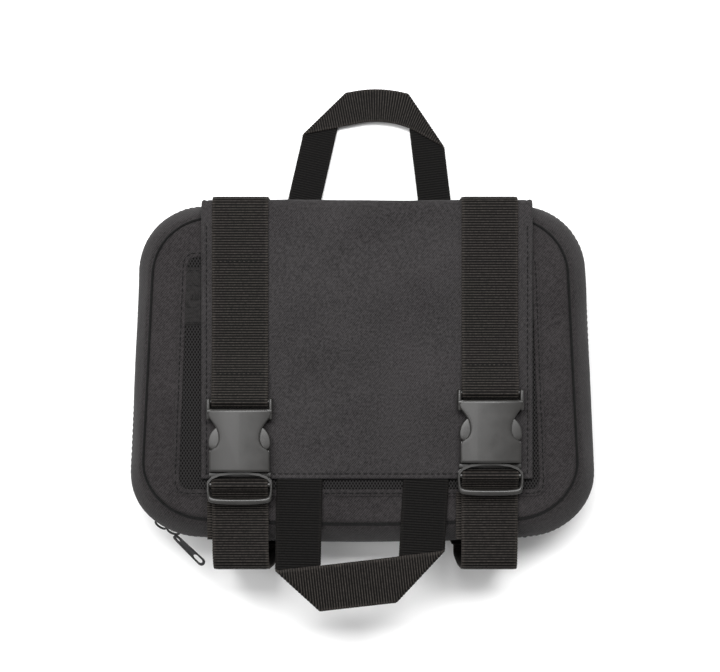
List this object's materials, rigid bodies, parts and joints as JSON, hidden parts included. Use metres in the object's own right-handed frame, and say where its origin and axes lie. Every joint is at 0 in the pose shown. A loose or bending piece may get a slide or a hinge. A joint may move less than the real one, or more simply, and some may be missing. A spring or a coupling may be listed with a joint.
{
  "type": "hanging toiletry bag",
  "caption": "Rounded soft zip case with a buckled front flap, mesh pockets, webbing straps, a front carrying handle and a top hanging handle.",
  "frame": {"origin": "centre of the flat back panel's outer face", "axes": "+X towards the bag's right as seen from the front, +Y towards the hanging handle, +Z out of the front"},
  "size_m": [0.268, 0.3034, 0.0904],
  "materials": {
    "body_fabric": "matte woven polyester",
    "flap_fabric": "matte smooth twill",
    "seam_binding": "folded fabric binding",
    "webbing": "ribbed polypropylene webbing",
    "mesh": "open knitted mesh",
    "elastic": "ribbed elastic",
    "zip_tape": "woven zip tape",
    "zip_coil": "nylon coil",
    "buckle_plastic": "satin moulded acetal",
    "zip_metal": "satin black painted metal"
  },
  "bodies": {
    "case": {"back_panel": "body_fabric", "rear_gusset": "body_fabric", "rear_seam": "seam_binding", "rear_zip_tape": "zip_tape", "rear_zip_coil": "zip_coil", "rear_mesh_pocket": "mesh", "elastic_loops": "elastic", "top_wrap_rear": "flap_fabric", "base_wrap": "flap_fabric", "top_handle_anchor": "webbing", "strap_end_left": "webbing", "strap_end_right": "webbing", "strap_patch_left": "webbing", "strap_patch_right": "webbing", "lower_strap_left": "webbing", "lower_strap_right": "webbing"},
    "lid": {"front_panel": "body_fabric", "front_gusset": "body_fabric", "front_seam": "seam_binding", "front_zip_tape": "zip_tape", "front_zip_coil": "zip_coil", "pocket_frame": "body_fabric", "pocket_mesh_upper": "mesh", "pocket_mesh_lower": "mesh", "lid_mesh_pocket": "mesh", "pocket_zip": "zip_tape", "front_handle_anchor": "webbing", "strap_top_left": "webbing", "strap_top_right": "webbing", "top_wrap_front": "flap_fabric"},
    "flap": {"flap_panel": "flap_fabric", "upper_strap_left": "webbing", "upper_strap_right": "webbing", "buckle_female_left": "buckle_plastic", "buckle_female_right": "buckle_plastic"},
    "top_handle": {"top_handle": "webbing"},
    "front_handle": {"front_handle": "webbing"},
    "male_left": {"buckle_male_left": "buckle_plastic", "male_webbing_left": "webbing"},
    "prong_left_outer": {"prong_left_outer": "buckle_plastic"},
    "prong_left_inner": {"prong_left_inner": "buckle_plastic"},
    "male_right": {"buckle_male_right": "buckle_plastic", "male_webbing_right": "webbing"},
    "prong_right_outer": {"prong_right_outer": "buckle_plastic"},
    "prong_right_inner": {"prong_right_inner": "buckle_plastic"},
    "slider_upper": {"zip_slider_upper": "zip_metal"},
    "slider_lower": {"zip_slider_lower": "zip_metal"},
    "zip_pull": {"zip_pull_long": "zip_metal"},
    "pocket_slider": {"pocket_slider": "zip_metal"}
  },
  "joints": [
    {"name": "lid_hinge", "type": "hinge", "parent": "case", "child": "lid", "pos_m": [0, 0.0986, 0.038], "axis": [-1, 0, 0], "range_deg": [0, 105]},
    {"name": "flap_hinge", "type": "hinge", "parent": "lid", "child": "flap", "pos_m": [0, 0.0935, 0.0787], "axis": [1, 0, 0], "range_deg": [-140, 0]},
    {"name": "top_handle_hinge", "type": "hinge", "parent": "case", "child": "top_handle", "pos_m": [0, 0.104, 0.0032], "axis": [-1, 0, 0], "range_deg": [-80, 0]},
    {"name": "front_handle_hinge", "type": "hinge", "parent": "lid", "child": "front_handle", "pos_m": [0, -0.06, 0.07705], "axis": [-1, 0, 0], "range_deg": [0, 100]},
    {"name": "male_left_release", "type": "slide", "parent": "case", "child": "male_left", "axis": [0, -1, 0], "range_m": [0, 0.034], "deforming": ["prong_left_outer", "prong_left_inner"]},
    {"name": "prong_left_outer_squeeze", "type": "hinge", "parent": "male_left", "child": "prong_left_outer", "pos_m": [-0.076, -0.0532, 0.0852], "axis": [0, 0, -1], "range_deg": [0, 8], "stiffness_Nm_per_rad": 0.05},
    {"name": "prong_left_inner_squeeze", "type": "hinge", "parent": "male_left", "child": "prong_left_inner", "pos_m": [-0.0604, -0.0532, 0.0852], "axis": [0, 0, 1], "range_deg": [0, 8], "stiffness_Nm_per_rad": 0.05},
    {"name": "male_right_release", "type": "slide", "parent": "case", "child": "male_right", "axis": [0, -1, 0], "range_m": [0, 0.034], "deforming": ["prong_right_outer", "prong_right_inner"]},
    {"name": "prong_right_outer_squeeze", "type": "hinge", "parent": "male_right", "child": "prong_right_outer", "pos_m": [0.0788, -0.0482, 0.0852], "axis": [0, 0, 1], "range_deg": [0, 8], "stiffness_Nm_per_rad": 0.05},
    {"name": "prong_right_inner_squeeze", "type": "hinge", "parent": "male_right", "child": "prong_right_inner", "pos_m": [0.0632, -0.0482, 0.0852], "axis": [0, 0, -1], "range_deg": [0, 8], "stiffness_Nm_per_rad": 0.05},
    {"name": "slider_upper_travel", "type": "hinge", "parent": "case", "child": "slider_upper", "pos_m": [-0.096, -0.059, 0.038], "axis": [0, 0, 1], "range_deg": [-45, 0]},
    {"name": "slider_lower_travel", "type": "hinge", "parent": "case", "child": "slider_lower", "pos_m": [-0.096, -0.059, 0.038], "axis": [0, 0, 1], "range_deg": [0, 8]},
    {"name": "zip_pull_swing", "type": "hinge", "parent": "slider_lower", "child": "zip_pull", "pos_m": [-0.11148, -0.09933, 0.038], "axis": [0, 0, 1], "range_deg": [-60, 0]},
    {"name": "pocket_slider_travel", "type": "slide", "parent": "lid", "child": "pocket_slider", "axis": [1, 0, 0], "range_m": [0, 0.15]}
  ],
  "couplings": [
    {"joint": "prong_left_inner_squeeze", "follows": "prong_left_outer_squeeze", "ratio": 1},
    {"joint": "prong_right_inner_squeeze", "follows": "prong_right_outer_squeeze", "ratio": 1}
  ]
}
